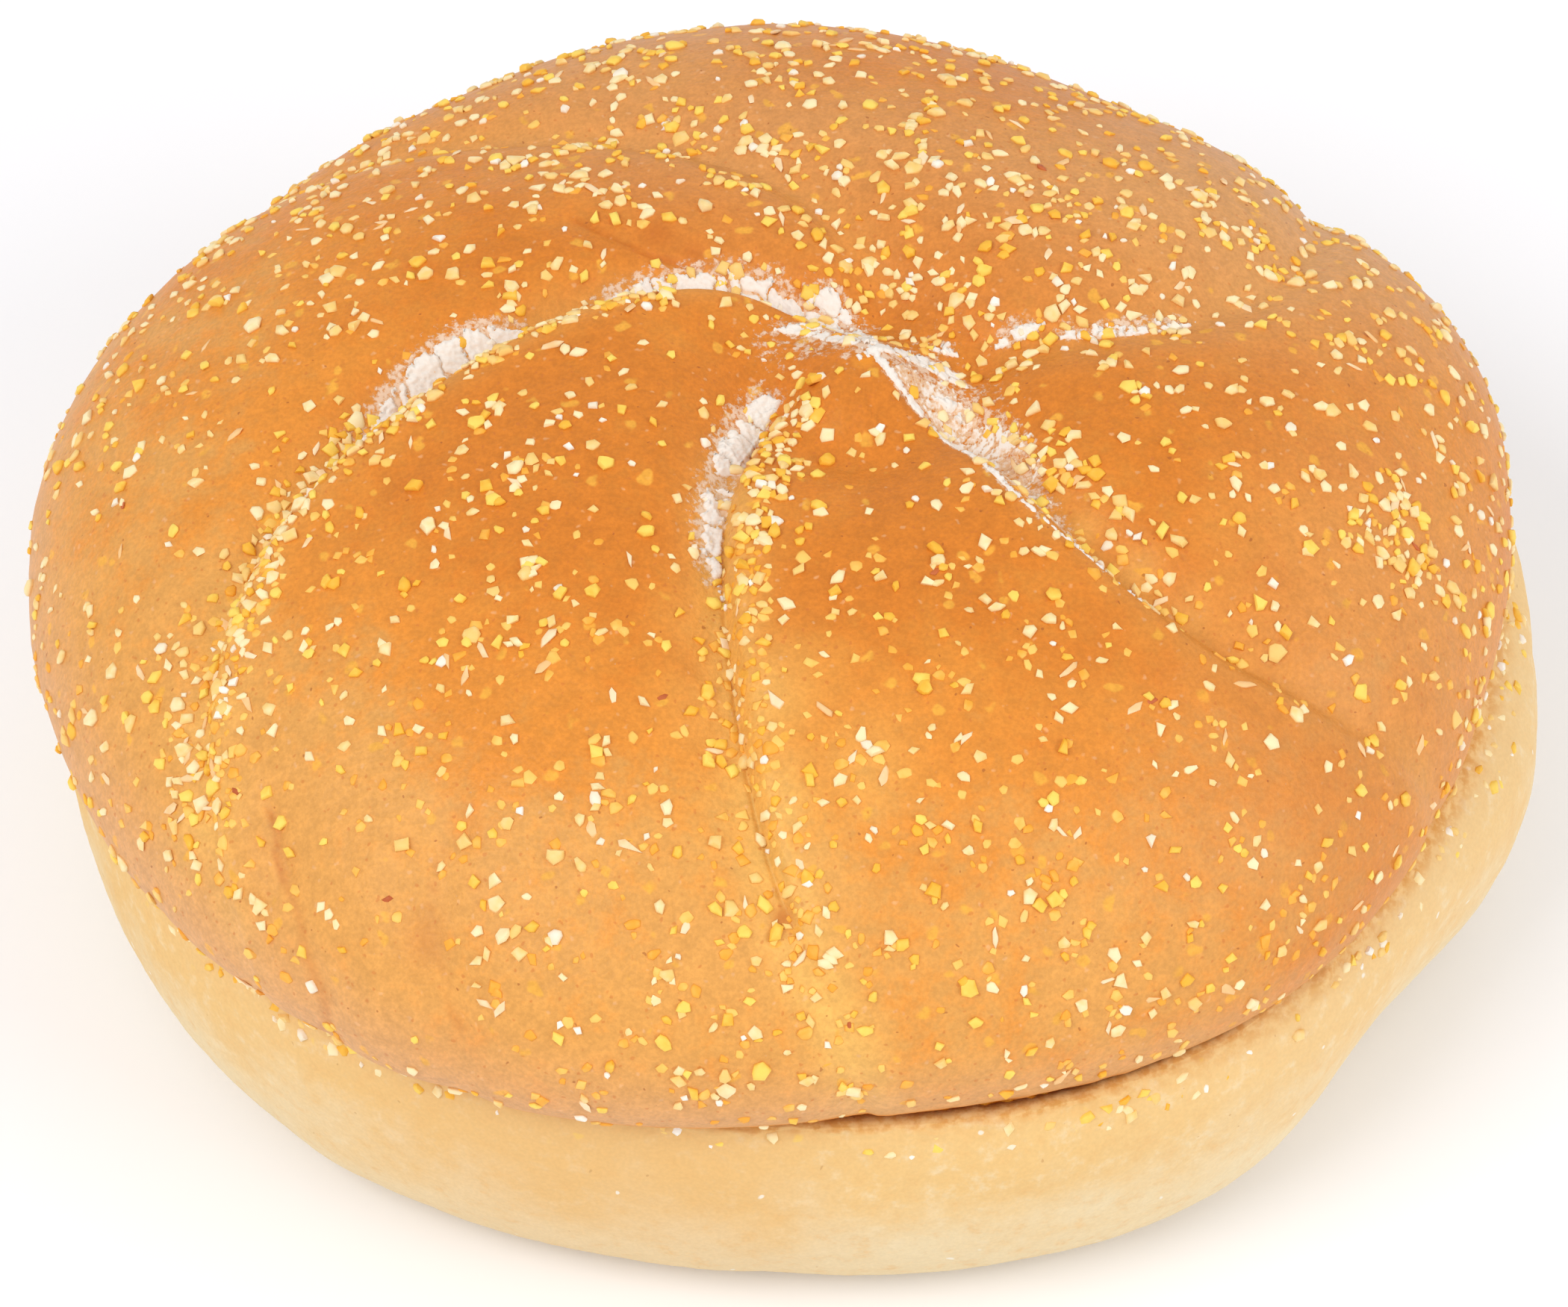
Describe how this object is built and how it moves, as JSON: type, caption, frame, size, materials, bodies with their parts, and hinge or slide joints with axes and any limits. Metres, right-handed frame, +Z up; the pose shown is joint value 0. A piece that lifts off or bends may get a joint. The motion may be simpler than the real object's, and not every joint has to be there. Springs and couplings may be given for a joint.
{
  "type": "sliced kaiser roll",
  "caption": "Round wheat roll stamped with a spiral star and strewn with corn grits, sliced through and closed again, its domed crown resting a little askew on the pale heel.",
  "frame": {"origin": "on the sole's plane, under the middle of the roll's box", "axes": "+Z up out of the crown, -Y towards the side that the picture shows in front, +X to its right"},
  "size_m": [0.1118, 0.1021, 0.0499],
  "materials": {
    "browned_crust": "satin baked crust, golden brown",
    "pale_crust": "matt, cream, faintly mottled",
    "crumb": "matt open crumb",
    "corn_grits": "waxy yellow grains",
    "flour": "matt white powder"
  },
  "bodies": {
    "root": {"crown": "browned_crust", "heel": "pale_crust"}
  },
  "joints": []
}
